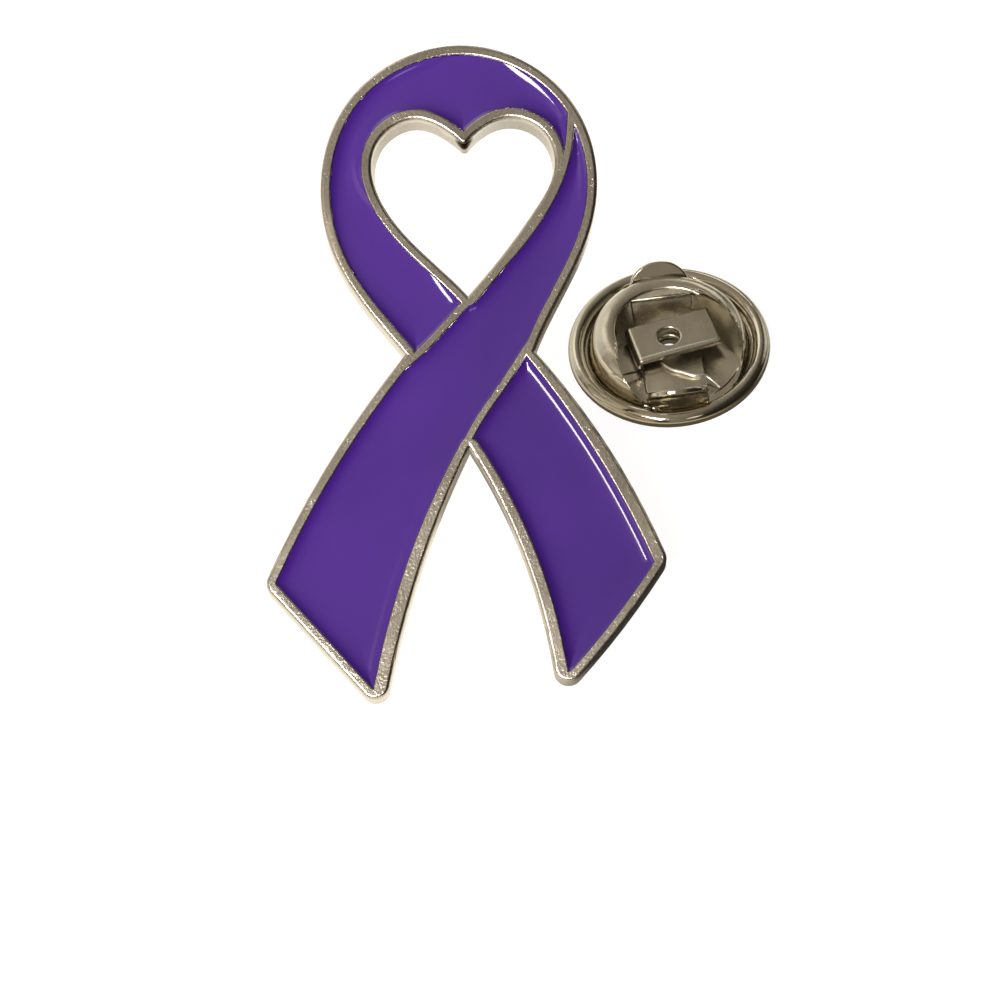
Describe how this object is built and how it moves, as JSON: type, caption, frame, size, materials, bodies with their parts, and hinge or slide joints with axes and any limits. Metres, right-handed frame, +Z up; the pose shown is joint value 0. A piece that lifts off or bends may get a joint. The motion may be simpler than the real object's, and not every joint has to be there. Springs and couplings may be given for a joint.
{
  "type": "awareness ribbon pin",
  "caption": "Enamelled awareness ribbon pin with a heart-shaped opening and a back post, lying beside its butterfly clutch.",
  "frame": {"origin": "middle of the ground that the pin and its clutch cover, on the surface that they lie on", "axes": "+Z up, +Y from the leg tips towards the loop, +X from the pin towards the clutch beside it"},
  "size_m": [0.0254, 0.0284, 0.0163],
  "materials": {
    "plated_plate": "polished nickel plating, softly tarnished",
    "enamel": "violet enamel, gloss",
    "plated_clutch": "bright nickel plating on stamped sheet"
  },
  "bodies": {
    "root": {"ribbon_plate": "plated_plate", "enamel_front": "enamel", "enamel_loop": "enamel", "enamel_leg": "enamel", "clutch_base": "plated_clutch", "clutch_cap": "plated_clutch", "clutch_spring": "plated_clutch"}
  },
  "joints": []
}
